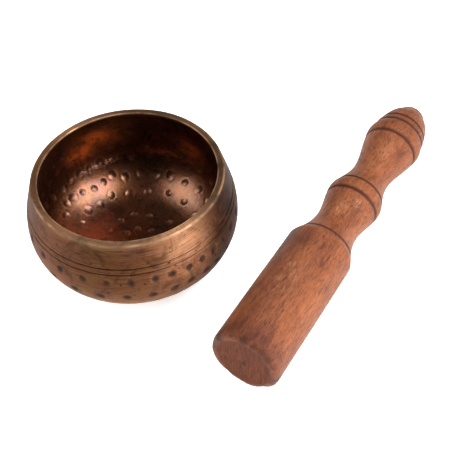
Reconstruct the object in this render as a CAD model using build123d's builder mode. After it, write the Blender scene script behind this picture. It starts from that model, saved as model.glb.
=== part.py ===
from build123d import *
import os
from math import atan2, cos, degrees, radians, sin, sqrt, tan

os.makedirs("parts", exist_ok=True)

# Singing bowl with its wooden mallet. Millimetres, +Z up.
# The origin is the centre of the bowl's foot, on the surface it stands on.
# The mallet lies beside the bowl, along +Y.

# Bowl: one shell turned about Z, thickest round the foot
bowl_radius = 50.0          # at the belly, the widest point
bowl_height = 50.0
foot_radius = 24.7          # flat underneath
wall = 3.4                  # above the belly and at the middle of the floor
shoulder_round = 44.6       # radius of the arc above the belly
side_share = 0.64           # inside arc below the belly, as a share of the hollow's depth
heel_share = 1.64           # inside arc from there towards the floor, as a share of that depth
side_sweep = 45.0           # where one arc hands over to the other, degrees
band_slope = 16.4           # how far the top band leans in, degrees
lip_outer_round = 1.2
lip_inner_round = 0.4

# Two engraved lines round the top band
line_drop = 11.6            # from the lip down to the upper line
line_spacing = 2.9
line_radius = 0.55
line_depth = 0.35

# Punched dents: rings of shallow round hollows on both skins
dent_ball = 4.6             # radius of the punch's nose
outer_dent_depth = 0.55
inner_dent_depth = 0.25
dent_drift = 7.0            # hand spacing: the pitch swells and closes, degrees
dent_drift_turn = -55.0     # where round the bowl the rings run true, degrees
outer_top_ring_drop = 4.7   # below the lower engraved line
outer_low_ring_height = 11.2
inner_top_ring_drop = 16.3  # below the lip; the next ring is at the belly
outer_ring_layout = ((32, 5.0), (29, 9.0), (26, 4.0))   # count, first angle
inner_ring_layout = ((32, 6.0), (32, 10.8))
hollow_ring_layout = (                                  # steepness of the skin, count, first angle
    (30.2, 34, 3.4),
    (53.7, 33, 6.4),
    (68.8, 20, 1.8),
    (83.1, 12, 8.4),
    (87.0, 7, 23.6),
)

# Mallet: one piece of turned wood, sizes along its axis from the striking end
barrel_radius = 16.45
barrel_length = 70.5
end_round = 2.4
shoulder_length = 3.2       # chamfer behind the barrel
shoulder_drop = 1.3
cut_width = 0.9             # V cuts between the turned forms
cut_depth = 0.7
heel_radius = 14.6          # where the first cove starts
heel_slope = -0.45          # slopes are rise over run
neck_radius = 11.1
neck_at = 15.0              # from the start of the first cove
neck_length = 29.4
neck_end_slope = 0.22
bead_length = 7.1
bead_radius = 14.1
bead_foot_radius = 13.5
waist_start_slope = -0.35
waist_radius = 9.8
waist_at = 15.2             # from the start of the second cove
waist_length = 37.6
waist_end_slope = 0.2
ring_radius = 14.8
ring_foot_radius = 13.9
ring_lengths = (9.2, 3.6)
tip_length = 17.5
tip_start_slope = -0.25
tip_round = 7.6             # radius where the tip starts to close
tip_close = 4.4             # length of the closing part
tip_slope = -0.9

# Where the mallet lies
mallet_gap = 20.0           # clear distance from belly to barrel
mallet_start = -45.6        # Y of the striking end

belly_height = bowl_radius - foot_radius

# Inside below the belly: a side arc, a heel arc and a shallow floor arc, each tangent to the next
hollow_radius = bowl_radius - wall
hollow_depth = belly_height - wall
side_round = hollow_depth * side_share
heel_round = hollow_depth * heel_share
side_turn = radians(side_sweep)
side_x = hollow_radius - side_round
heel_x = side_x - (heel_round - side_round) * cos(side_turn)
heel_z = belly_height + (heel_round - side_round) * sin(side_turn)
spare = heel_z - wall - heel_round
floor_rise = (heel_x**2 - spare**2) / (2 * spare)
floor_z = heel_z + floor_rise
floor_round = floor_z - wall
heel_sweep = degrees(atan2(floor_rise, heel_x))

band_angle = radians(band_slope)
band_start_radius = bowl_radius - shoulder_round * (1 - cos(band_angle))
band_start_height = belly_height + shoulder_round * sin(band_angle)
upper_line_height = bowl_height - line_drop
lower_line_height = upper_line_height - line_spacing


def skin_point(height, inset):
    """Radius and outward direction of the skin that lies inset inside the outer one."""
    if height < belly_height:
        arc = belly_height - inset
        up = (height - belly_height) / arc
        out = sqrt(1 - up**2)
        return foot_radius + arc * out, out, up
    arc = shoulder_round - inset
    up = (height - belly_height) / arc
    if up < sin(band_angle):
        out = sqrt(1 - up**2)
        return bowl_radius - shoulder_round + arc * out, out, up
    arc_top_radius = bowl_radius - shoulder_round + arc * cos(band_angle)
    arc_top_height = belly_height + arc * sin(band_angle)
    return arc_top_radius - (height - arc_top_height) * tan(band_angle), cos(band_angle), sin(band_angle)


def hollow_point(steepness):
    """Radius, height and direction into the metal where the inside is this steep; 90 is the level floor."""
    if steepness < side_sweep:
        x, z, arc = side_x, belly_height, side_round
    elif steepness < heel_sweep:
        x, z, arc = heel_x, heel_z, heel_round
    else:
        x, z, arc = 0, floor_z, floor_round
    out, up = cos(radians(steepness)), -sin(radians(steepness))
    return x + arc * out, z + arc * up, out, up


def ring_angles(count, first):
    """Angles of one ring of dents, in degrees, with the drift of hand spacing."""
    even = [first + 360 * place / count for place in range(count)]
    return [turn + dent_drift * cos(radians(2 * (turn - dent_drift_turn))) for turn in even]


def ring_heights(top, bottom, count):
    """Evenly spaced heights from top to bottom."""
    return [top + (bottom - top) * place / (count - 1) for place in range(count)]


def punch_centres(radius, height, out, up, layout, stand_off):
    """Centres of the punch's ball for one ring, stand_off along the direction (out, up) from the skin."""
    reach = radius + stand_off * out
    level = height + stand_off * up
    turns = [radians(turn) for turn in ring_angles(*layout)]
    return [(reach * cos(turn), reach * sin(turn), level) for turn in turns]


outer_top_ring = lower_line_height - outer_top_ring_drop
inner_top_ring = bowl_height - inner_top_ring_drop
outer_rings = ring_heights(outer_top_ring, outer_low_ring_height, len(outer_ring_layout))
inner_rings = ring_heights(inner_top_ring, belly_height, len(inner_ring_layout))
outer_stand_off = dent_ball - outer_dent_depth
inner_stand_off = inner_dent_depth - dent_ball

dents = []
for height, layout in zip(outer_rings, outer_ring_layout):
    radius, out, up = skin_point(height, 0)
    dents += punch_centres(radius, height, out, up, layout, outer_stand_off)
for height, layout in zip(inner_rings, inner_ring_layout):
    radius, out, up = skin_point(height, wall)
    dents += punch_centres(radius, height, out, up, layout, inner_stand_off)
for steepness, count, first in hollow_ring_layout:
    dents += punch_centres(*hollow_point(steepness), (count, first), inner_stand_off)

# Bowl: its section is turned about Z, then the dents are punched
inner_shoulder = shoulder_round - wall
inner_band_start = (
    bowl_radius - shoulder_round + inner_shoulder * cos(band_angle),
    belly_height + inner_shoulder * sin(band_angle),
)
lip_outer = band_start_radius - (bowl_height - band_start_height) * tan(band_angle)
lip_inner = lip_outer - wall / cos(band_angle)

with BuildPart() as bowl:
    with BuildSketch(Plane.XZ) as bowl_section:
        with BuildLine():
            Line((0, 0), (foot_radius, 0))
            CenterArc((foot_radius, belly_height), belly_height, -90, 90)
            CenterArc((bowl_radius - shoulder_round, belly_height), shoulder_round, 0, band_slope)
            Line((band_start_radius, band_start_height), (lip_outer, bowl_height))
            Line((lip_outer, bowl_height), (lip_inner, bowl_height))
            Line((lip_inner, bowl_height), inner_band_start)
            CenterArc((bowl_radius - shoulder_round, belly_height), inner_shoulder, 0, band_slope)
            CenterArc((side_x, belly_height), side_round, -side_sweep, side_sweep)
            CenterArc((heel_x, heel_z), heel_round, -heel_sweep, heel_sweep - side_sweep)
            CenterArc((0, floor_z), floor_round, -90, 90 - heel_sweep)
            Line((0, wall), (0, 0))
        make_face()
        fillet(bowl_section.vertices().group_by(Axis.Y)[-1].sort_by(Axis.X)[0], lip_inner_round)
        fillet(bowl_section.vertices().group_by(Axis.Y)[-1].sort_by(Axis.X)[-1], lip_outer_round)
        for line_height in (upper_line_height, lower_line_height):
            skin_radius, skin_out, skin_up = skin_point(line_height, 0)
            stand_off = line_radius - line_depth
            with Locations((skin_radius + stand_off * skin_out, line_height + stand_off * skin_up)):
                Circle(line_radius, mode=Mode.SUBTRACT)
    revolve(axis=Axis.Z)
    with Locations(*dents):
        Sphere(dent_ball, mode=Mode.SUBTRACT)
bowl.part.label = "bowl"
export_step(bowl.part, "parts/bowl.step")

# Mallet: where each turned form starts along the axis
shoulder_end = barrel_length + shoulder_length
cove_start = shoulder_end + cut_width
bead_start = cove_start + neck_length
bead_end = bead_start + cut_width + bead_length
waist_start = bead_end + cut_width
first_ring = waist_start + waist_length
second_ring = first_ring + cut_width + ring_lengths[0]
last_cut = second_ring + cut_width + ring_lengths[1]
tip_start = last_cut + cut_width
mallet_length = tip_start + tip_length
ring_crown = first_ring + cut_width + ring_lengths[0] / 2
waist_foot_radius = bead_foot_radius - cut_depth / 2
collar_radius = ring_foot_radius - cut_depth / 2
tip_foot_radius = ring_foot_radius - cut_depth

# The mallet rests on the barrel's rear edge and on the first ring, so it dips towards its tip
rest_dip = atan2(barrel_radius - ring_radius, ring_crown - barrel_length)
axis_height = barrel_length * sin(rest_dip) + barrel_radius * cos(rest_dip)
mallet_plane = Plane(
    origin=(bowl_radius + mallet_gap + barrel_radius, mallet_start, axis_height),
    x_dir=(0, cos(rest_dip), -sin(rest_dip)),
    z_dir=(1, 0, 0),
)


def v_cut(start, radius_before, radius_after):
    """A V cut one cut_width long."""
    middle = (start + cut_width / 2, min(radius_before, radius_after) - cut_depth)
    Line((start, radius_before), middle)
    Line(middle, (start + cut_width, radius_after))


with BuildPart() as mallet:
    with BuildSketch(mallet_plane) as mallet_section:
        with BuildLine():
            Line((0, 0), (0, barrel_radius - end_round))
            CenterArc((end_round, barrel_radius - end_round), end_round, 90, 90)
            Line((end_round, barrel_radius), (barrel_length, barrel_radius))
            Line((barrel_length, barrel_radius), (shoulder_end, barrel_radius - shoulder_drop))
            v_cut(shoulder_end, barrel_radius - shoulder_drop, heel_radius)
            Spline(
                (cove_start, heel_radius),
                (cove_start + neck_at, neck_radius),
                (bead_start, bead_foot_radius),
                tangents=((1, heel_slope), (1, 0), (1, neck_end_slope)),
            )
            v_cut(bead_start, bead_foot_radius, bead_foot_radius)
            ThreePointArc(
                (bead_start + cut_width, bead_foot_radius),
                (bead_start + cut_width + bead_length / 2, bead_radius),
                (bead_end, bead_foot_radius),
            )
            v_cut(bead_end, bead_foot_radius, waist_foot_radius)
            Spline(
                (waist_start, waist_foot_radius),
                (waist_start + waist_at, waist_radius),
                (first_ring, ring_foot_radius),
                tangents=((1, waist_start_slope), (1, 0), (1, waist_end_slope)),
            )
            v_cut(first_ring, ring_foot_radius, ring_foot_radius)
            ThreePointArc(
                (first_ring + cut_width, ring_foot_radius),
                (ring_crown, ring_radius),
                (second_ring, ring_foot_radius),
            )
            v_cut(second_ring, ring_foot_radius, ring_foot_radius)
            Line((second_ring + cut_width, ring_foot_radius), (last_cut, collar_radius))
            v_cut(last_cut, collar_radius, tip_foot_radius)
            Spline(
                (tip_start, tip_foot_radius),
                (mallet_length - tip_close, tip_round),
                (mallet_length, 0),
                tangents=((1, tip_start_slope), (1, tip_slope), (0, -1)),
            )
            Line((mallet_length, 0), (0, 0))
        make_face()
    revolve(axis=Axis(mallet_plane.origin, mallet_plane.x_dir))
mallet.part.label = "mallet"
export_step(mallet.part, "parts/mallet.step")

print("bowl volume mm3", round(bowl.part.volume), "dents", len(dents))
print("mallet volume mm3", round(mallet.part.volume), "length mm", round(mallet_length, 1))
print("mallet axis at X mm", round(mallet_plane.origin.X, 2), "height", round(axis_height, 2))
print("mallet dip deg", round(degrees(rest_dip), 2))
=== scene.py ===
import math
import bpy
import numpy as np
from mathutils import Matrix, Vector

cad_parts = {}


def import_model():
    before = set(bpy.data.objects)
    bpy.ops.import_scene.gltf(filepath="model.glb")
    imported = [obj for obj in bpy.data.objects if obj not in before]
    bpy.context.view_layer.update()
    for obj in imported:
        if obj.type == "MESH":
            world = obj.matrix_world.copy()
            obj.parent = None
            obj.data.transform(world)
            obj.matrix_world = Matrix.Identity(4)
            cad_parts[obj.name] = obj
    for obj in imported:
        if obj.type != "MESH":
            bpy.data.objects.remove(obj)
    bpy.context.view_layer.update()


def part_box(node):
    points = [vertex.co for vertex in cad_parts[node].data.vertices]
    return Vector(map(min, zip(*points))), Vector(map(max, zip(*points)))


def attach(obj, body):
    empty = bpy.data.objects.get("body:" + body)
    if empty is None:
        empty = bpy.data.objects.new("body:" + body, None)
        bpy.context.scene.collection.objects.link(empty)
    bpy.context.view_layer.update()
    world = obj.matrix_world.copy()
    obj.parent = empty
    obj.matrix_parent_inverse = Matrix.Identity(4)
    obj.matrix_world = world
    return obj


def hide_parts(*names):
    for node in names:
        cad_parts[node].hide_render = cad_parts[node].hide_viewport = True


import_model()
mm = 0.001
nearTurn = 6.28  # radians, just short of once round
print("frame loaded")


# camera: three-quarter view from above, with the small roll of a hand-held shot
cameraSpot = {
    "place": (0.1977, -0.2248, 0.3396),
    "turn": 33.02,  # degrees round Z, 0 looks along +Y
    "down": 48.02,
    "roll": -3.27,
    "lens": 72.3,
    "sensor": 36,
    "clipStart": 0.01,
}


def makeCamera(spot):
    data = bpy.data.cameras.new("camera")
    data.lens = spot["lens"]
    data.sensor_width = spot["sensor"]
    data.clip_start = spot["clipStart"]
    camera = bpy.data.objects.new("camera", data)
    bpy.context.collection.objects.link(camera)
    aim = Matrix.Rotation(math.radians(spot["turn"]), 4, "Z")
    tip = Matrix.Rotation(math.radians(90 - spot["down"]), 4, "X")
    roll = Matrix.Rotation(math.radians(spot["roll"]), 4, "Z")
    camera.matrix_world = Matrix.Translation(spot["place"]) @ aim @ tip @ roll
    bpy.context.scene.camera = camera


makeCamera(cameraSpot)
print("camera placed")


# node helpers, shared by both finishes
class NodeBench:
    def __init__(self, name):
        self.material = bpy.data.materials.new(name)
        self.material.use_nodes = True
        self.tree = self.material.node_tree
        self.shader = self.tree.nodes["Principled BSDF"]

    def plug(self, source, target):
        if isinstance(source, (int, float, tuple)):
            target.default_value = source
        else:
            self.tree.links.new(source, target)

    def attribute(self, name, kind="Fac"):
        node = self.tree.nodes.new("ShaderNodeAttribute")
        node.attribute_name = name
        return node.outputs[kind]

    def objectSpace(self):
        return self.tree.nodes.new("ShaderNodeTexCoord").outputs["Object"]

    def stretch(self, vector, scale):
        node = self.tree.nodes.new("ShaderNodeMapping")
        self.plug(vector, node.inputs["Vector"])
        node.inputs["Scale"].default_value = scale
        return node.outputs["Vector"]

    def noise(self, vector, scale, detail=4.0, rough=0.55, warp=0.0):
        node = self.tree.nodes.new("ShaderNodeTexNoise")
        self.plug(vector, node.inputs["Vector"])
        node.inputs["Scale"].default_value = scale
        node.inputs["Detail"].default_value = detail
        node.inputs["Roughness"].default_value = rough
        node.inputs["Distortion"].default_value = warp
        return node.outputs["Fac"]

    def cells(self, vector, scale):
        node = self.tree.nodes.new("ShaderNodeTexVoronoi")
        self.plug(vector, node.inputs["Vector"])
        node.inputs["Scale"].default_value = scale
        return node.outputs["Distance"]

    def remap(self, value, low, high, start=0.0, end=1.0):
        node = self.tree.nodes.new("ShaderNodeMapRange")
        self.plug(value, node.inputs["Value"])
        node.inputs["From Min"].default_value = low
        node.inputs["From Max"].default_value = high
        node.inputs["To Min"].default_value = start
        node.inputs["To Max"].default_value = end
        return node.outputs["Result"]

    def math(self, kind, first, second=0.0):
        node = self.tree.nodes.new("ShaderNodeMath")
        node.operation = kind
        self.plug(first, node.inputs[0])
        self.plug(second, node.inputs[1])
        return node.outputs["Value"]

    def times(self, first, second):
        return self.math("MULTIPLY", first, second)

    def plus(self, first, second):
        return self.math("ADD", first, second)

    def mixColour(self, amount, first, second):
        node = self.tree.nodes.new("ShaderNodeMix")
        node.data_type = "RGBA"
        self.plug(amount, node.inputs["Factor"])
        self.plug(first, node.inputs["A"])
        self.plug(second, node.inputs["B"])
        return node.outputs["Result"]

    def roundAxis(self):
        node = self.tree.nodes.new("ShaderNodeTangent")
        node.direction_type = "RADIAL"
        node.axis = "Z"
        return node.outputs["Tangent"]

    def bump(self, height, distance, strength=1.0, under=None):
        node = self.tree.nodes.new("ShaderNodeBump")
        node.inputs["Distance"].default_value = distance
        node.inputs["Strength"].default_value = strength
        self.plug(height, node.inputs["Height"])
        if under is not None:
            self.plug(under, node.inputs["Normal"])
        return node.outputs["Normal"]


def addFloats(mesh, name, values):
    layer = mesh.attributes.new(name, "FLOAT", "POINT")
    layer.data.foreach_set("value", np.ascontiguousarray(values, dtype=np.float32).ravel())


def addVectors(mesh, name, values):
    layer = mesh.attributes.new(name, "FLOAT_VECTOR", "POINT")
    layer.data.foreach_set("vector", np.ascontiguousarray(values, dtype=np.float32).ravel())


def latheMesh(name, grid, startPoint, endPoint):
    # grid is rows x columns x 3; the rows are closed round and capped by one point at each end
    rows, columns = grid.shape[:2]
    points = np.vstack([grid.reshape(-1, 3), [startPoint], [endPoint]])
    first = np.arange(rows - 1)[:, None] * columns + np.arange(columns)[None]
    beside = np.arange(rows - 1)[:, None] * columns + (np.arange(columns)[None] + 1) % columns
    quads = np.stack([first, beside, beside + columns, first + columns], -1).reshape(-1, 4)
    ring = np.arange(columns)
    after = (ring + 1) % columns
    startFan = np.column_stack([after, ring, np.full(columns, rows * columns)])
    last = (rows - 1) * columns
    endFan = np.column_stack([last + ring, last + after, np.full(columns, rows * columns + 1)])
    faces = quads.tolist() + startFan.tolist() + endFan.tolist()
    mesh = bpy.data.meshes.new(name)
    mesh.from_pydata(points.tolist(), [], faces)
    mesh.polygons.foreach_set("use_smooth", np.ones(len(faces), dtype=bool))
    mesh.update()
    piece = bpy.data.objects.new(name, mesh)
    bpy.context.collection.objects.link(piece)
    return piece


def denseSteps(length, coarse, spots, fine, reach):
    # places from 0 to length, close together near the spots
    places = [0.0]
    while places[-1] < length - fine * 0.5:
        here = places[-1]
        near = any(abs(here + fine * 0.5 - spot) < reach for spot in spots)
        ahead = [spot - reach - here for spot in spots if spot - reach > here]
        step = fine if near else min([coarse] + [max(gap, fine) for gap in ahead])
        places.append(min(here + step, length))
    places[-1] = length
    return np.array(places)


def handWaver(turn, run, seed, waves=7):
    # slow hand-made unevenness, about -1 to 1, closed round the turn
    rng = np.random.default_rng(seed)
    total = 0
    for _ in range(waves):
        around = rng.integers(1, 9)
        along = rng.uniform(0.02, 0.22)
        roundWave = np.sin(around * turn + rng.uniform(0, nearTurn))
        total = total + roundWave * np.sin(along * run + rng.uniform(0, nearTurn))
    return total / waves * 1.6


def turnGap(turn, place):
    # the shorter way round from a place, in radians
    return (turn - place + math.pi) % (2 * math.pi) - math.pi


# bowl: one turned wall, hammered, with engraved lines and rings of punched dents
bowlPlan = {  # millimetres
    "foot": 24.7,
    "wall": 3.4,
    "shoulder": 44.6,
    "bandSlope": 16.4,
    "lipOuterRound": 0.9,
    "lipInnerRound": 0.5,
    "sideShare": 0.64,  # inside arcs below the belly, shares of the hollow's depth
    "heelShare": 1.64,
    "sideSweep": 45,  # degrees where the side arc hands over to the heel arc
    "columns": 480,
    "lines": (11.6, 14.5),  # engraved lines, down from the lip
    "lineWidth": 0.32,
    "lineDepth": 0.34,
    "unevenness": 0.10,
    "lipWaver": 0.10,
    "waverBand": 8,  # how far down from the lip it reaches
    "nickTurn": 269.3,
    "nickDepth": 0.55,
    "nickDown": 0.6,  # from the top of the band
    "nickTall": 0.9,
    "nickWide": 0.018,  # radians
    "hammerSeed": 5,
    "lipSeed": 9,
    # patches of another tone, each by turn, height, degrees round and spread in height:
    # red oxide inside, laid where light bounced in the hollow glows red, so partly a painted
    # reflection; darker patina outside, its patch on the mallet's side of the belly a painted dark
    # reflection of the mallet; brighter rubbed metal where the boxes' highlights and the table's
    # reflection fall, painted highlights and reflections
    "flushes": ((146, 35, 17, 8), (160, 28, 9, 5), (86, 27, 9, 7)),
    "patinasAndShades": ((-2, 22, 17, 18), (25, 44, 24, 14), (178, 18, 30, 12), (100, 50, 95, 3)),
    "rubbedSheens": ((-22, 42, 20, 10), (-50, 8, 60, 9), (-100, 9, 30, 9), (-64, 50, 40, 2)),
    # distance between rows of points
    "rowStep": 1.25,
    "roundSteps": {"foot": 5.0, "lipOuter": 0.32, "lip": 0.6, "lipInner": 0.22},
    "dentStep": 0.62,
    "dentReach": 2.9,
    "lineStep": 0.16,
    "lineReach": 0.75,
    # rings of punched dents, each by height or radius, count and first angle
    "outer": ((30.8, 32, 5.0), (21.0, 29, 9.0), (11.2, 26, 4.0)),
    "inner": ((33.7, 32, 6.0), (25.3, 32, 10.8), (18.25, 34, 3.4)),
    "floor": ((38.4, 33, 6.4), (30.1, 20, 1.8), (16.3, 12, 8.4), (7.1, 7, 23.6)),
    "outerSize": 2.2,
    "outerDepth": 0.66,
    "innerSize": 2.0,
    "innerDepth": 0.22,
    "outerBrim": 0.045,
    "innerBrim": 0.065,
    "outerStray": 0.35,  # how far each dent strays from its ring
    "innerStray": 0.85,
    "farDentShare": 0.85,  # share of the dents' dirt away from the mallet's side; the dents facing the mallet are painted darker, as in its shade
    "drift": 7.0,  # degrees the spacing swings round the bowl
    "driftTurn": -55.0,
    "dentSeed": 41,
    "dentSizes": (0.9, 1.1),  # shares of the size and depth above
    "dentDepths": (0.8, 1.15),
    "dentStretch": 1.14,
    "brimAt": 1.12,  # shares of the dent's radius
    "brimWidth": 0.20,
    # both finishes are the same metal: brushed round and rubbed outside, darker and smoother inside
    "outerFinish": {
        "copper": (0.138, 0.034, 0.008, 1),
        "olive": (0.128, 0.041, 0.007, 1),
        "mauve": (0.122, 0.036, 0.019, 1),
        "worn": (0.68, 0.42, 0.24, 1),
        "grime": (0.020, 0.006, 0.003, 1),
        "flush": (0.30, 0.09, 0.02, 1),
        "streaks": 0.24,  # how much the brushing, stains, and the dirt and painted shade in the dents show
        "stains": 0.55,
        "soot": 1.0,
        "dentShade": (0.10, 0.62),  # dent depth where the dirt and painted shade start and where they are full
        "lipWear": 0.12,
        "rough": (0.50, 0.62),
        "brushBump": 0.4,
        "sweep": 0.92,  # how far the brushing draws highlights up and down
        "waxCoat": 0.02,
        "waxRough": 0.25,
    },
    "innerFinish": {
        "copper": (0.180, 0.050, 0.013, 1),
        "olive": (0.135, 0.046, 0.009, 1),
        "mauve": (0.145, 0.044, 0.026, 1),
        "worn": (0.50, 0.30, 0.18, 1),
        "grime": (0.030, 0.010, 0.005, 1),
        "flush": (0.44, 0.070, 0.007, 1),
        "streaks": 0.05,
        "stains": 0.65,
        "soot": 0.6,
        "dentShade": (0.10, 0.95),
        "lipWear": 0.12,
        "rough": (0.25, 0.36),
        "brushBump": 0.05,
        "sweep": 0.0,
        "waxCoat": 0.65,
        "waxRough": 0.24,
    },
    "grain": {  # sizes of the patterns in the metal, larger is finer, and their depth in metres
        "brushed": (5.0, 5.0, 3.2),
        "fineBrush": (9.0, 9.0, 9.0),
        "cloud": 30.0,
        "patch": 85.0,
        "grit": 900.0,
        "stain": 70.0,
        "fleck": 420.0,
        "speck": 190.0,
        "patchDeep": 0.00030,
        "brushDeep": 0.00010,
        "fineDeep": 0.00004,
        "gritDeep": 0.00002,
    },
}

outerSkin = ("belly", "shoulder", "band")
innerSkin = ("innerBand", "innerShoulder", "hollow")
searchPoints = 2000  # points tried along a stretch when a place on it is looked for


def bowlStretches(form, radius, height):
    # the wall's section as (name, length, point at a run from its start)
    belly = radius - form["foot"]
    slope = math.radians(form["bandSlope"])
    wall = form["wall"]
    arcCentre = radius - form["shoulder"]

    def arc(cx, cz, size, start, end):
        sweep = end - start
        return abs(sweep) * size, lambda run: (
            cx + size * np.cos(start + math.copysign(1, sweep) * run / size),
            cz + size * np.sin(start + math.copysign(1, sweep) * run / size),
        )

    def hollow(across, deep):
        # from the belly to the middle of the floor: side, heel and floor arcs, each tangent to the next
        side, heel = deep * form["sideShare"], deep * form["heelShare"]
        turn = math.radians(form["sideSweep"])
        sideX = across - side
        heelX, heelZ = sideX - (heel - side) * math.cos(turn), belly + (heel - side) * math.sin(turn)
        spare = heelZ - wall - heel
        rise = (heelX**2 - spare**2) / (2 * spare)
        last = math.atan2(rise, heelX)
        arcs = ((sideX, belly, side, 0, turn), (heelX, heelZ, heel, turn, last))
        arcs += ((0, heelZ + rise, heelZ + rise - wall, last, math.pi / 2),)
        steeps = [np.linspace(start, end, searchPoints // 4) for *_, start, end in arcs]
        xs = np.concatenate([x + size * np.cos(steep) for (x, _, size, *_), steep in zip(arcs, steeps)])
        zs = np.concatenate([z - size * np.sin(steep) for (_, z, size, *_), steep in zip(arcs, steeps)])
        walked = np.concatenate([[0], np.cumsum(np.hypot(np.diff(xs), np.diff(zs)))])
        return walked[-1], lambda run: (np.interp(run, walked, xs), np.interp(run, walked, zs))

    def line(x1, z1, x2, z2):
        length = math.hypot(x2 - x1, z2 - z1)
        return length, lambda run: (x1 + (x2 - x1) * run / length, z1 + (z2 - z1) * run / length)

    def skinTop(inset):
        size = form["shoulder"] - inset
        return arcCentre + size * math.cos(slope), belly + size * math.sin(slope)

    outX, outZ = skinTop(0)
    inX, inZ = skinTop(wall)
    outer = form["lipOuterRound"]
    inner = form["lipInnerRound"]
    lipOut = outX - (height - outZ) * math.tan(slope)
    lipIn = inX - (height - inZ) * math.tan(slope)
    # roundings tangent to the slanted band and the flat lip
    outTan = outer * math.tan((math.pi / 2 - slope) / 2)
    inTan = inner * math.tan((math.pi / 2 + slope) / 2)
    outCentre = lipOut - outTan, height - outer
    inCentre = lipIn + inTan, height - inner
    bandTop = outCentre[0] + outer * math.cos(slope), outCentre[1] + outer * math.sin(slope)
    innerTop = inCentre[0] - inner * math.cos(slope), inCentre[1] - inner * math.sin(slope)
    quarter = math.pi / 2
    return [
        ("foot", *line(0, 0, form["foot"], 0)),
        ("belly", *arc(form["foot"], belly, belly, -quarter, 0)),
        ("shoulder", *arc(arcCentre, belly, form["shoulder"], 0, slope)),
        ("band", *line(outX, outZ, *bandTop)),
        ("lipOuter", *arc(*outCentre, outer, slope, quarter)),
        ("lip", *line(outCentre[0], height, inCentre[0], height)),
        ("lipInner", *arc(*inCentre, inner, quarter, math.pi + slope)),
        ("innerBand", *line(*innerTop, inX, inZ)),
        ("innerShoulder", *arc(arcCentre, belly, form["shoulder"] - wall, slope, 0)),
        ("hollow", *hollow(radius - wall, belly - wall)),
    ]


def heightRun(stretches, names, height):
    # run from the section's start to the given height on one skin
    total = 0
    for name, length, place in stretches:
        if name in names:
            runs = np.linspace(0, length, searchPoints)
            levels = place(runs)[1]
            if min(levels[0], levels[-1]) <= height <= max(levels[0], levels[-1]):
                return total + runs[np.abs(levels - height).argmin()]
        total += length
    raise ValueError(f"no place at height {height}")


def reachRun(stretches, wanted, reach):
    total = 0
    for name, length, place in stretches:
        if name == wanted:
            runs = np.linspace(0, length, searchPoints)
            return total + runs[np.abs(place(runs)[0] - reach).argmin()]
        total += length
    raise ValueError(f"no stretch {wanted}")


def ringTurns(count, first, form):
    even = first + 360 * np.arange(count) / count
    return np.radians(even + form["drift"] * np.cos(np.radians(2 * (even - form["driftTurn"]))))


def placeDents(form, stretches):
    # every dent as run, turn, size, depth, brim, stray
    outer = [form[name] for name in ("outerSize", "outerDepth", "outerBrim", "outerStray")]
    inner = [form[name] for name in ("innerSize", "innerDepth", "innerBrim", "innerStray")]
    rings = [(heightRun(stretches, outerSkin, level), outer, *ring) for level, *ring in form["outer"]]
    rings += [(heightRun(stretches, innerSkin, level), inner, *ring) for level, *ring in form["inner"]]
    rings += [(reachRun(stretches, "hollow", reach), inner, *ring) for reach, *ring in form["floor"]]
    dents = []
    for run, shape, count, first in rings:
        dents += [(run, turn, *shape) for turn in ringTurns(count, first, form)]
    return dents


def sectionRows(form, stretches, starts, dentRuns, lineRuns):
    # rows of points along the section, close together at the dents and the lines
    runs, reaches, levels, kinds = [], [], [], []
    for name, length, place in stretches:
        step = form["roundSteps"].get(name, form["rowStep"])
        spots, fine, near = dentRuns, min(step, form["dentStep"]), form["dentReach"]
        if name in ("shoulder", "band"):
            spots, fine, near = lineRuns, form["lineStep"], form["lineReach"]
        places = denseSteps(length, step, [spot - starts[name] for spot in spots], fine, near)[:-1]
        reach, level = place(places)
        runs.append(starts[name] + places)
        reaches.append(np.broadcast_to(reach, places.shape))
        levels.append(np.broadcast_to(level, places.shape))
        kinds += [name] * len(places)
    # the first row is left out, as one point closes the foot
    return [np.concatenate(rows)[1:] for rows in (runs, reaches, levels)] + [np.array(kinds[1:])]


def punchDents(form, dents, runs, turns, reaches, push):
    # presses the dents into push, and gives how much dirt each point holds, with painted shade added in
    # the dents facing the mallet
    rng = np.random.default_rng(form["dentSeed"])
    dirtAndShade = np.zeros_like(push)
    for dentRun, dentTurn, dentSize, depth, rise, stray in dents:
        dentRun += rng.normal(0, stray)
        dentTurn += rng.normal(0, stray) / np.interp(dentRun, runs, reaches)
        dentSize *= rng.uniform(*form["dentSizes"])
        depth *= rng.uniform(*form["dentDepths"])
        lean = rng.uniform(0, nearTurn / 2)
        stretch = rng.uniform(1.0, form["dentStretch"])
        rows = np.abs(runs - dentRun) < dentSize * 1.7
        across = turnGap(turns, dentTurn)[None] * reaches[rows][:, None]
        along = (runs[rows] - dentRun)[:, None]
        one = (across * math.cos(lean) + along * math.sin(lean)) / stretch
        two = (-across * math.sin(lean) + along * math.cos(lean)) * stretch
        away = np.hypot(one, two) / dentSize
        hollow = np.clip(1 - away**2, 0, None) ** 1.25
        brim = np.exp(-(((away - form["brimAt"]) / form["brimWidth"]) ** 2))
        push[rows] += -depth * hollow + rise * brim
        # dents facing the mallet get their full darkness and the rest less: painted shade on that side
        fromBack = abs(math.degrees(dentTurn) % 360 - 180)
        dentDarkness = rng.uniform(0.7, 1.0) * np.interp(fromBack, (110, 150), (form["farDentShare"], 1.0))
        dirtAndShade[rows] = np.maximum(dirtAndShade[rows], dentDarkness * np.clip((1.15 - away) * 1.5, 0, 1))
    return dirtAndShade


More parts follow.
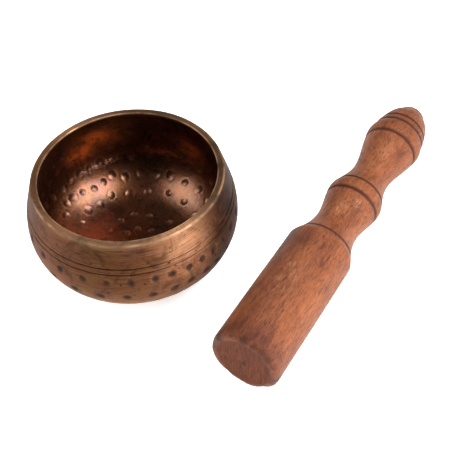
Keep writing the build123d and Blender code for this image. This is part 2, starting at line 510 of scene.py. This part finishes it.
def makeBowl(form):
    _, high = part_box("bowl")
    radius = high.x / mm
    height = high.z / mm
    stretches = bowlStretches(form, radius, height)
    starts = dict(zip([s[0] for s in stretches], np.cumsum([0] + [s[1] for s in stretches[:-1]])))
    lineRuns = [heightRun(stretches, outerSkin, height - drop) for drop in form["lines"]]
    dents = placeDents(form, stretches)
    dentRuns = sorted({dent[0] for dent in dents})
    runs, reaches, levels, kinds = sectionRows(form, stretches, starts, dentRuns, lineRuns)
    slopeReach, slopeLevel = np.gradient(reaches), np.gradient(levels)
    size = np.hypot(slopeReach, slopeLevel)
    normalReach, normalLevel = slopeLevel / size, -slopeReach / size

    turns = np.arange(form["columns"]) * 2 * math.pi / form["columns"]
    run, turn = runs[:, None], turns[None]
    push = -form["unevenness"] * (0.5 + 0.5 * handWaver(turn, run, form["hammerSeed"]))
    push = push + np.zeros((len(runs), len(turns)))
    lineMask = np.zeros_like(push)
    for lineRun in lineRuns:
        wander = 0.10 * np.sin(turn + 1.1) + 0.05 * np.sin(5 * turn + lineRun)
        cut = np.exp(-(((run - lineRun - wander) / form["lineWidth"]) ** 2) * 1.6)
        push -= form["lineDepth"] * cut
        lineMask = np.maximum(lineMask, cut)
    dentMask = punchDents(form, dents, runs, turns, reaches, push)

    lipRun = starts["lipOuter"]
    nick = np.exp(-(((run - lipRun - form["nickDown"]) / form["nickTall"]) ** 2))
    nick = nick * np.exp(-(((turn - math.radians(form["nickTurn"])) / form["nickWide"]) ** 2))
    push -= form["nickDepth"] * nick
    band = form["waverBand"]
    fade = np.clip((levels[:, None] - (height - band)) / band, 0, 1)
    sag = form["lipWaver"] * (0.5 + 0.5 * handWaver(turn, run * 0, form["lipSeed"])) * fade
    reach = reaches[:, None] + push * normalReach[:, None]
    level = levels[:, None] + push * normalLevel[:, None] - sag
    grid = np.stack([reach * np.cos(turn), reach * np.sin(turn), level], -1) * mm
    bowl = latheMesh("bronze_bowl", grid, (0, 0, 0), (0, 0, form["wall"] * mm))

    def spread(values):
        # one value per point, with the two end points last
        full = np.broadcast_to(values, push.shape).ravel()
        return np.concatenate([full, [full[0], full[-1]]])

    def patches(spots, side):
        total = 0
        for place, level, wide, tall in spots:
            off = turnGap(turn, math.radians(place)) / math.radians(wide)
            total = total + np.exp(-(off**2) - ((levels[:, None] - level) / tall) ** 2)
        return spread(np.clip(total * side, 0, 1))

    inside = np.isin(kinds, innerSkin)[:, None]
    edge = np.exp(-((np.clip(np.abs(run - lipRun - 0.6) - 0.3, 0, None) / 0.45) ** 2))
    innerEdge = np.exp(-(((run - starts["lipInner"] - 0.3) / 0.45) ** 2))
    past = np.clip(np.maximum(lipRun - run, run - starts["innerBand"]), 0, None)
    addFloats(bowl.data, "dent", spread(dentMask))
    addFloats(bowl.data, "line", spread(lineMask))
    addFloats(bowl.data, "edge", spread(np.maximum(edge * 0.75, innerEdge)))
    addFloats(bowl.data, "lip", spread(np.exp(-((past / 0.7) ** 2))))
    addFloats(bowl.data, "flush", patches(form["flushes"], inside))
    addFloats(bowl.data, "patinaAndShade", patches(form["patinasAndShades"], ~inside))
    addFloats(bowl.data, "rubbedSheen", patches(form["rubbedSheens"], ~inside))
    turned = np.stack([spread(np.cos(turn)), spread(np.sin(turn)), spread(run)], -1)
    addVectors(bowl.data, "turned", turned)

    # the second material goes on the faces inside, with the last fan of them
    innerRows = np.repeat(inside[1:, 0] & inside[:-1, 0], form["columns"])
    sides = np.zeros(len(bowl.data.polygons), dtype=np.int32)
    sides[: len(innerRows)] = innerRows
    sides[-form["columns"]:] = 1
    bowl.data.polygons.foreach_set("material_index", sides)
    return bowl


def bronzeTone(bench, look, grain, marks, brushed, cloud, patch):
    # the layers of colour from the bare metal up, with the red oxide and the dirt that roughen it too;
    # the red flush, the patina, the rubbed patches and the dents' dirt also carry painted reflection,
    # highlights and shade
    space = bench.objectSpace()
    worn, grime = look["worn"], look["grime"]
    tone = bench.mixColour(bench.remap(cloud, 0.42, 0.60), look["copper"], look["olive"])
    tone = bench.mixColour(bench.remap(patch, 0.46, 0.64, 0.0, 0.8), tone, look["mauve"])
    # red flush inside: oxide, laid where light bounced in the hollow glows red, so partly a painted
    # reflection
    blush = bench.times(marks["flush"], bench.remap(patch, 0.36, 0.56, 0.35, 1.0))
    tone = bench.mixColour(blush, tone, look["flush"])
    tone = bench.mixColour(bench.remap(brushed, 0.40, 0.72, 0.0, look["streaks"]), tone, worn)
    # brighter rubbed metal where the boxes' highlights and the table's reflection fall: painted
    # highlights and reflections
    shine = bench.times(marks["rubbedSheen"], bench.remap(brushed, 0.35, 0.65, 0.08, 0.30))
    tone = bench.mixColour(shine, tone, worn)

    stain = bench.noise(space, grain["stain"], detail=10.0, rough=0.78, warp=0.8)
    tone = bench.mixColour(bench.remap(stain, 0.50, 0.60, 0.0, look["stains"]), tone, grime)
    fleck = bench.noise(space, grain["fleck"], detail=2.0, rough=0.5)
    tone = bench.mixColour(bench.remap(fleck, 0.66, 0.72, 0.0, 0.8), tone, grime)
    # darker patina; its patch on the mallet's side of the belly is a painted dark reflection of the
    # mallet
    agedAndShaded = bench.times(marks["patinaAndShade"], bench.remap(patch, 0.40, 0.60, 0.9, 0.45))
    tone = bench.mixColour(agedAndShaded, tone, grime)
    speck = bench.remap(bench.cells(space, grain["speck"]), 0.0, 0.17, 1.0, 0.0)
    speck = bench.times(speck, bench.remap(patch, 0.56, 0.62))
    tone = bench.mixColour(speck, tone, grime)

    # dirt in the dents, with painted shade in those facing the mallet
    soot = bench.remap(marks["dent"], *look["dentShade"])
    soot = bench.times(soot, bench.remap(cloud, 0.35, 0.65, 1.0, 0.75))
    soot = bench.times(soot, look["soot"])
    tone = bench.mixColour(soot, tone, grime)
    tone = bench.mixColour(bench.remap(marks["line"], 0.30, 0.9, 0.0, 0.85), tone, grime)
    rub = bench.times(bench.remap(marks["edge"], 0.30, 0.95), bench.remap(patch, 0.40, 0.60, 0.10, 0.9))
    tone = bench.mixColour(bench.times(marks["lip"], look["lipWear"]), tone, worn)
    tone = bench.mixColour(rub, tone, worn)
    return tone, blush, soot


def bronzeFinish(name, look, grain):
    bench = NodeBench(name)
    space = bench.objectSpace()
    turned = bench.attribute("turned", "Vector")
    names = ("dent", "line", "edge", "flush", "lip", "patinaAndShade", "rubbedSheen")
    marks = {mark: bench.attribute(mark) for mark in names}
    brushed = bench.noise(bench.stretch(turned, grain["brushed"]), 1.0, detail=6.0, rough=0.65)
    fineBrush = bench.noise(bench.stretch(turned, grain["fineBrush"]), 1.0, detail=4.0, rough=0.7)
    cloud = bench.noise(space, grain["cloud"], detail=5.0, rough=0.6, warp=0.4)
    patch = bench.noise(space, grain["patch"], detail=6.0, rough=0.62, warp=0.6)
    grit = bench.noise(space, grain["grit"], detail=3.0, rough=0.6)
    tone, blush, soot = bronzeTone(bench, look, grain, marks, brushed, cloud, patch)
    bench.plug(tone, bench.shader.inputs["Base Color"])

    rough = bench.plus(brushed, bench.times(grit, 0.6))
    rough = bench.remap(rough, 0.55, 1.05, *look["rough"])
    rough = bench.plus(rough, bench.times(soot, 0.15))
    rough = bench.plus(rough, bench.times(marks["lip"], 0.12))
    bench.plug(rough, bench.shader.inputs["Roughness"])
    # dirt with its painted shade, the red flush and the worn lip are less metallic than the rest
    dull = bench.plus(bench.times(blush, 1.4), bench.times(marks["lip"], 0.5))
    dull = bench.plus(soot, dull)
    bench.plug(bench.remap(dull, 0.0, 1.4, 0.97, 0.5), bench.shader.inputs["Metallic"])
    bench.shader.inputs["Coat Weight"].default_value = look["waxCoat"]
    bench.shader.inputs["Coat Roughness"].default_value = look["waxRough"]
    if look["sweep"]:
        bench.shader.inputs["Anisotropic"].default_value = look["sweep"]
        bench.shader.inputs["Anisotropic Rotation"].default_value = 0.25
        bench.plug(bench.roundAxis(), bench.shader.inputs["Tangent"])

    normal = bench.bump(patch, grain["patchDeep"], 0.4)
    normal = bench.bump(brushed, grain["brushDeep"], look["brushBump"], under=normal)
    normal = bench.bump(fineBrush, grain["fineDeep"], look["brushBump"], under=normal)
    normal = bench.bump(bench.remap(grit, 0.2, 0.8), grain["gritDeep"], 0.3, under=normal)
    bench.plug(normal, bench.shader.inputs["Normal"])
    bench.plug(normal, bench.shader.inputs["Coat Normal"])
    return bench.material


bowl = makeBowl(bowlPlan)
bowl.data.materials.append(bronzeFinish("brushed_bronze", bowlPlan["outerFinish"], bowlPlan["grain"]))
bowl.data.materials.append(bronzeFinish("inner_bronze", bowlPlan["innerFinish"], bowlPlan["grain"]))
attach(bowl, "bowl")
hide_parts("bowl")
print("bowl made,", len(bowl.data.polygons), "faces")


# mallet: one turned stick, bruised where it strikes
malletPlan = {  # millimetres, along the stick from its striking end
    "barrel": 70.5,
    "endRound": 2.4,
    "shoulder": 3.2,
    "shoulderDrop": 1.3,
    "cut": 0.9,
    "cutDepth": 0.8,
    "heelRadius": 14.6,
    "neckRadius": 11.1,
    "neckAt": 15.0,
    "neck": 29.4,
    "bead": 7.1,
    "beadRadius": 14.1,
    "beadFoot": 13.5,
    "waistRadius": 9.8,
    "waistAt": 15.2,
    "waist": 37.6,
    "ringRadius": 14.8,
    "ringFoot": 13.9,
    "rings": (9.2, 3.6),  # the two rings by the tip
    "cutFoot": 0.35,  # how far the turned forms stand in beside a cut
    "tip": 17.5,
    "tipRound": 7.6,
    "columns": 256,
    "unevenness": 0.10,
    "chip": 1.5,
    "bites": 16,
    "biteSeed": 23,
    "biteWidths": (0.05, 0.22),  # radians
    "biteDepths": (0.25, 1.0),  # shares of the chip
    "biteReach": 1.7,
    "bruiseReach": 3.4,
    "pithWide": 0.9,
    "pithDeep": 0.35,
    "turningSeed": 17,
    "faceSeed": 31,
    "rowStep": 0.9,
    "cutStep": 0.16,
    "darkSideTurn": 140,  # the side towards the bowl and up, where the dirt and the painted shade lie
    # patches of another tone, each by place along, spread along, turn from that side, spread, how much
    # dirt stains; the second patch, down the barrel's left side, is painted shade
    "dirtAndShade": (
        (63, 8, -5, 50, 0.9),
        (26, 32, 38, 22, 0.5),
        (5, 4, 0, 200, 0.6),
        (30, 16, -30, 34, 0.35),
        (10, 9, -60, 30, 0.5),
        (117, 6, 0, 200, 0.25),
        (158, 7, 0, 200, 0.35),
    ),
    "scuffs": (
        (91, 5, -50, 16, 1.0),
        (99, 3, -80, 12, 0.8),
        (42, 16, -45, 22, 0.5),
        (135, 10, -60, 20, 0.5),
    ),
    "finish": {
        "light": (0.220, 0.069, 0.025, 1),
        "mid": (0.140, 0.040, 0.014, 1),
        "dark": (0.046, 0.0105, 0.005, 1),
        "dirtAndShadeTone": (0.055, 0.0125, 0.008, 1),
        "cutTone": (0.028, 0.006, 0.003, 1),
        "scuffTone": (0.42, 0.20, 0.10, 1),
        "pore": (0.018, 0.005, 0.002, 1),
        "endTone": (0.052, 0.011, 0.004, 1),
        "endLight": (0.115, 0.029, 0.009, 1),
        "rough": (0.46, 0.66),
        "gloss": 0.15,
        # how fine each pattern is across and along the stick
        "flow": (0.10, 0.10, 0.018),
        "grain": (1.1, 1.1, 0.060),
        "pores": (3.0, 3.0, 0.20),
        "mottle": (0.16, 0.16, 0.05),
        "smear": (0.9, 0.9, 0.28),
        "endRings": (0.9, 0.16, 0.9),
        "grainDeep": 0.00014,  # metres
        "smearDeep": 0.00020,
        "poreDeep": 0.00014,
    },
}


def hermite(x1, y1, slope1, x2, y2, slope2, xs):
    t = (xs - x1) / (x2 - x1)
    span = x2 - x1
    return (
        y1 * (2 * t**3 - 3 * t**2 + 1) + slope1 * span * (t**3 - 2 * t**2 + t)
        + y2 * (3 * t**2 - 2 * t**3) + slope2 * span * (t**3 - t**2)
    )


def malletStations(form):
    # where each turned form begins
    at = {"shoulder": form["barrel"]}
    at["heel"] = at["shoulder"] + form["shoulder"] + form["cut"]
    at["bead"] = at["heel"] + form["neck"]
    at["beadEnd"] = at["bead"] + form["cut"] + form["bead"]
    at["waist"] = at["beadEnd"] + form["cut"]
    at["ring"] = at["waist"] + form["waist"]
    at["ringEnd"] = at["ring"] + form["cut"] + form["rings"][0]
    at["collarEnd"] = at["ringEnd"] + form["cut"] + form["rings"][1]
    at["tip"] = at["collarEnd"] + form["cut"]
    at["end"] = at["tip"] + form["tip"]
    return at


def malletRadius(form, at, radius, along):
    cut, foot, ringFoot, low = form["cut"], form["beadFoot"], form["ringFoot"], form["cutFoot"]
    heel, bead, waist, ring, ringEnd, tip = (
        at[name] for name in ("heel", "bead", "waist", "ring", "ringEnd", "tip")
    )
    neckMid, waistMid = heel + form["neckAt"], waist + form["waistAt"]
    tipMid = at["end"] - form["tip"] / 4
    beadMid = (bead + cut + at["beadEnd"]) / 2
    ringMid = (ring + cut + ringEnd) / 2

    def crown(middle, half, top, base):
        return base + (top - base) * np.clip(1 - ((along - middle) / half) ** 2, 0, 1)

    end, shoulder = form["endRound"], at["shoulder"]
    neckRadius, waistRadius, tipRound = form["neckRadius"], form["waistRadius"], form["tipRound"]
    bigRing, smallRing = form["rings"]
    pieces = [
        (0, end, radius - end + np.sqrt(np.clip(end**2 - (end - along) ** 2, 0, None))),
        (end, shoulder, radius + 0 * along),
        (shoulder, heel, radius - form["shoulderDrop"] * (along - shoulder) / form["shoulder"]),
        (heel, neckMid, hermite(heel, form["heelRadius"], -0.45, neckMid, neckRadius, 0, along)),
        (neckMid, bead, hermite(neckMid, neckRadius, 0, bead, foot, 0.22, along)),
        (bead, waist, crown(beadMid, form["bead"] / 2, form["beadRadius"], foot)),
        (waist, waistMid, hermite(waist, foot - low, -0.35, waistMid, waistRadius, 0, along)),
        (waistMid, ring, hermite(waistMid, waistRadius, 0, ring, ringFoot, 0.2, along)),
        (ring, ringEnd, crown(ringMid, bigRing / 2, form["ringRadius"], ringFoot)),
        (ringEnd, tip, ringFoot - low * (along - ringEnd) / smallRing),
        (tip, tipMid, hermite(tip, ringFoot - 2 * low, -0.25, tipMid, tipRound, -0.9, along)),
    ]
    out = np.zeros_like(along)
    for start, stop, values in pieces:
        inside = (along >= start) & (along <= stop)
        out[inside] = values[inside]
    nose = along > tipMid
    drop = np.clip((along - tipMid) / (at["end"] - tipMid), 0, 1)
    out[nose] = tipRound * np.sqrt(np.clip(1 - drop[nose] ** 2.2, 0, None))
    return out


def rimBites(form, turn):
    # the striking edge is bruised: bites of different width taken out of the round
    rng = np.random.default_rng(form["biteSeed"])
    bites = 0
    for _ in range(form["bites"]):
        place = rng.uniform(0, nearTurn)
        width, depth = rng.uniform(*form["biteWidths"]), rng.uniform(*form["biteDepths"])
        bites = bites + depth * np.exp(-((turnGap(turn, place) / width) ** 2))
    return bites


def makeMallet(form):
    low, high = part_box("mallet")
    radius = (high.x - low.x) / 2 / mm
    at = malletStations(form)
    crest = (at["ring"] + form["cut"] + at["ringEnd"]) / 2
    dip = math.atan2(radius - form["ringRadius"], crest - form["barrel"])
    startY = low.y / mm + (radius - form["endRound"]) * math.sin(dip)
    startZ = form["barrel"] * math.sin(dip) + radius * math.cos(dip)
    cuts = [at[name] + form["cut"] / 2 for name in ("bead", "beadEnd", "ring", "ringEnd", "collarEnd")]
    cuts.append(at["heel"] - form["cut"] / 2)
    corners = [0.0, at["shoulder"], at["end"]]
    along = denseSteps(at["end"], form["rowStep"], cuts + corners, form["cutStep"], 1.0)[:-1]
    along = np.unique(np.concatenate([along, at["end"] - np.array([0.02, 0.08, 0.2, 0.4, 0.7])]))
    around = malletRadius(form, at, radius, along)
    turns = np.arange(form["columns"]) * 2 * math.pi / form["columns"]
    run, turn = along[:, None], turns[None]

    push = -form["unevenness"] * (0.5 + 0.5 * handWaver(turn, run, form["turningSeed"]))
    push = push * np.ones((len(along), len(turns)))
    cutMask = np.zeros_like(push)
    for spot in cuts:
        away = np.abs(run - spot) / form["cut"]
        worn = 0.85 + 0.15 * np.sin(3 * turn + spot)
        push = push - form["cutDepth"] * np.clip(1 - away, 0, 1) * worn
        cutMask = np.maximum(cutMask, np.clip(1.25 - away / 1.5, 0, 1) + 0 * turn)
    bites = rimBites(form, turn)
    rim = np.exp(-((run / form["biteReach"]) ** 2))
    push = push - form["chip"] * np.clip(bites, 0, 1.2) * rim * 0.6
    across = np.clip(around[:, None] + push, 0.02, None)
    stand = Vector((0, math.sin(dip), math.cos(dip)))
    ahead = Vector((0, math.cos(dip), -math.sin(dip)))
    origin = Vector(((low.x + high.x) / 2 / mm, startY, startZ))

    def world(run, side, up):
        x = origin.x + side + 0 * run
        y = origin.y + run * ahead.y + up * stand.y
        z = origin.z + run * ahead.z + up * stand.z
        return np.stack([x, y, z], -1) * mm

    # the flat end is more rows of the same lathe form, from the middle out
    faceReach = np.linspace(3.2, across[0].mean() - 0.9, 11)
    faceReach = np.concatenate([[0.5, 1.0, 1.5, 2.2], faceReach])[:, None]
    faceWave = 0.06 * handWaver(turn, faceReach * 2, form["faceSeed"])
    faceWave = faceWave * np.ones((len(faceReach), len(turns)))
    pith = form["pithDeep"] * np.exp(-((faceReach / form["pithWide"]) ** 2))
    faceRun = np.clip(faceWave + 0.06, 0, None) + pith
    fullRun = np.vstack([faceRun, run * np.ones_like(push)])
    fullReach = np.vstack([faceReach * np.ones((1, len(turns))), across])
    grid = world(fullRun, fullReach * np.cos(turn), fullReach * np.sin(turn))
    tipPoint = world(np.array(at["end"] - 0.01), np.array(0.0), np.array(0.0))
    facePoint = world(np.array(0.4), np.array(0.0), np.array(0.0))
    mallet = latheMesh("wooden_mallet", grid, facePoint, tipPoint)

    def spread(face, side):
        # one value per point: the flat end's rows, the rest, then the two end points
        full = np.vstack([face * np.ones_like(faceRun), side * np.ones_like(push)]).ravel()
        return np.concatenate([full, [full[0], full[-1]]])

    def patches(spots):
        off = np.degrees(turnGap(turn, math.radians(form["darkSideTurn"])))
        total = 0.0
        for place, length, side, wide, much in spots:
            total = total + much * np.exp(-(((run - place) / length) ** 2) - ((off - side) / wide) ** 2)
        return spread(0, np.clip(total, 0, 1))

    pithMark = 0.9 * np.exp(-(((faceReach - 0.8) / form["pithWide"]) ** 2))
    pithMark = pithMark * (0.6 + 0.4 * np.sin(2 * turn))
    rimMark = np.clip(0.25 + bites, 0, 1) * np.exp(-((run / form["bruiseReach"]) ** 2))
    addFloats(mallet.data, "cut", spread(0, cutMask))
    addFloats(mallet.data, "endGrain", spread(1, 0))
    addFloats(mallet.data, "bruise", spread(pithMark, rimMark))
    addFloats(mallet.data, "dirtAndShade", patches(form["dirtAndShade"]))
    addFloats(mallet.data, "scuff", patches(form["scuffs"]))
    reachAll, turnAll, runAll = spread(faceReach, across), spread(turn, turn), spread(0, run)
    stick = np.stack([reachAll * np.cos(turnAll), reachAll * np.sin(turnAll), runAll], -1)
    addVectors(mallet.data, "stick", stick)
    return mallet


def woodFinish(look):
    bench = NodeBench("oiled_hardwood")
    stick = bench.attribute("stick", "Vector")
    names = ("cut", "endGrain", "bruise", "dirtAndShade", "scuff")
    cut, endGrain, bruise, dirtAndShade, scuff = (bench.attribute(mark) for mark in names)
    flow = bench.noise(bench.stretch(stick, look["flow"]), 1.0, detail=3.0, rough=0.5, warp=0.3)
    grain = bench.noise(bench.stretch(stick, look["grain"]), 1.0, detail=7.0, rough=0.66, warp=0.3)
    pores = bench.noise(bench.stretch(stick, look["pores"]), 1.0, detail=3.0, rough=0.6)
    mottle = bench.noise(bench.stretch(stick, look["mottle"]), 1.0, detail=12.0, rough=0.85, warp=0.3)
    smear = bench.noise(bench.stretch(stick, look["smear"]), 1.0, detail=8.0, rough=0.8, warp=0.6)
    rings = bench.noise(bench.stretch(stick, look["endRings"]), 1.0, detail=6.0, rough=0.7, warp=0.5)

    tone = bench.mixColour(bench.remap(grain, 0.34, 0.62, 0.25, 1.0), look["mid"], look["light"])
    tone = bench.mixColour(bench.remap(flow, 0.45, 0.68, 0.0, 0.55), tone, look["mid"])
    tone = bench.mixColour(bench.remap(smear, 0.48, 0.66, 0.0, 0.42), tone, look["dark"])
    tone = bench.mixColour(bench.remap(mottle, 0.46, 0.62, 0.0, 0.65), tone, look["dark"])
    # dirt patches, with painted shade down the barrel's left side
    blotch = bench.times(dirtAndShade, bench.remap(mottle, 0.36, 0.54, 0.35, 1.0))
    tone = bench.mixColour(blotch, tone, look["dirtAndShadeTone"])
    tone = bench.mixColour(bench.remap(pores, 0.57, 0.64, 0.0, 0.8), tone, look["pore"])
    pale = bench.times(scuff, bench.remap(smear, 0.50, 0.60, 0.0, 0.75))
    tone = bench.mixColour(pale, tone, look["scuffTone"])
    sawn = bench.mixColour(bench.remap(rings, 0.36, 0.64), look["endTone"], look["endLight"])
    tone = bench.mixColour(endGrain, tone, sawn)
    tone = bench.mixColour(bench.remap(cut, 0.1, 1.0, 0.0, 0.85), tone, look["cutTone"])
    tone = bench.mixColour(bench.times(bruise, 0.7), tone, look["cutTone"])
    bench.plug(tone, bench.shader.inputs["Base Color"])

    rough = bench.remap(smear, 0.3, 0.7, *look["rough"])
    rough = bench.plus(rough, bench.times(endGrain, 0.2))
    bench.plug(rough, bench.shader.inputs["Roughness"])
    bench.shader.inputs["Specular IOR Level"].default_value = look["gloss"]

    normal = bench.bump(grain, look["grainDeep"], 0.6)
    normal = bench.bump(smear, look["smearDeep"], 0.5, under=normal)
    normal = bench.bump(bench.remap(pores, 0.55, 0.70, 1.0, 0.0), look["poreDeep"], 0.6, under=normal)
    bench.plug(normal, bench.shader.inputs["Normal"])
    return bench.material


mallet = makeMallet(malletPlan)
mallet.data.materials.append(woodFinish(malletPlan["finish"]))
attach(mallet, "mallet")
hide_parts("mallet")
print("mallet made,", len(mallet.data.polygons), "faces")


# studio: a lit white table with three soft boxes, in a plain white room
studio = {
    "tableTone": (0.93, 0.93, 0.93, 1),
    "tableGlow": 0.60,  # a translucent table lit a little from below
    "tableSize": 3.0,
    "tableDrop": 0.0002,  # keeps the table clear of the foot
    "tableRough": 0.9,
    "tableGloss": 0.1,
    "roomTone": (1.0, 0.99, 0.98, 1),
    "roomLight": 1.10,
    "roomShine": 0.012,  # what polished metal sees of the room
    # name, place, aim, width, height, power, tone
    "boxes": (
        ("rightBox", (0.35, 0.20, 0.75), (0.03, 0.0, 0.03), 0.42, 0.46, 6.0, (1.0, 0.98, 0.96)),
        ("lowBox", (0.795, -0.11, 0.24), (0.03, 0.0, 0.03), 0.60, 0.28, 8.4, (1.0, 0.98, 0.97)),
        ("leftBox", (-0.47, -0.17, 0.68), (0.0, 0.0, 0.03), 0.42, 0.36, 2.5, (1.0, 0.99, 0.98)),
    ),
}


def makeTable(look):
    half = look["tableSize"] / 2
    mesh = bpy.data.meshes.new("table")
    corners = [(-half, -half, 0), (half, -half, 0), (half, half, 0), (-half, half, 0)]
    mesh.from_pydata(corners, [], [(0, 1, 2, 3)])
    table = bpy.data.objects.new("table", mesh)
    table.location.z = -look["tableDrop"]
    bpy.context.collection.objects.link(table)
    bench = NodeBench("white_table")
    bench.shader.inputs["Base Color"].default_value = look["tableTone"]
    bench.shader.inputs["Emission Color"].default_value = look["tableTone"]
    bench.shader.inputs["Emission Strength"].default_value = look["tableGlow"]
    bench.shader.inputs["Roughness"].default_value = look["tableRough"]
    bench.shader.inputs["Specular IOR Level"].default_value = look["tableGloss"]
    table.data.materials.append(bench.material)


def makeBoxes(look):
    for name, place, aim, width, height, power, tone in look["boxes"]:
        data = bpy.data.lights.new(name, "AREA")
        data.shape = "RECTANGLE"
        data.size = width
        data.size_y = height
        data.energy = power
        data.color = tone
        lamp = bpy.data.objects.new(name, data)
        bpy.context.collection.objects.link(lamp)
        lamp.location = place
        lamp.rotation_euler = (Vector(aim) - Vector(place)).to_track_quat("-Z", "Y").to_euler()


def makeRoom(look):
    world = bpy.data.worlds.new("room")
    world.use_nodes = True
    nodes, links = world.node_tree.nodes, world.node_tree.links
    sky = nodes["Background"]
    sky.inputs["Color"].default_value = look["roomTone"]
    path = nodes.new("ShaderNodeLightPath")
    swap = nodes.new("ShaderNodeMix")
    swap.inputs["A"].default_value = look["roomLight"]
    swap.inputs["B"].default_value = look["roomShine"]
    links.new(path.outputs["Is Glossy Ray"], swap.inputs["Factor"])
    links.new(swap.outputs["Result"], sky.inputs["Strength"])
    bpy.context.scene.world = world
    bpy.context.scene.view_settings.view_transform = "Standard"


makeTable(studio)
makeBoxes(studio)
makeRoom(studio)
print("studio lit")
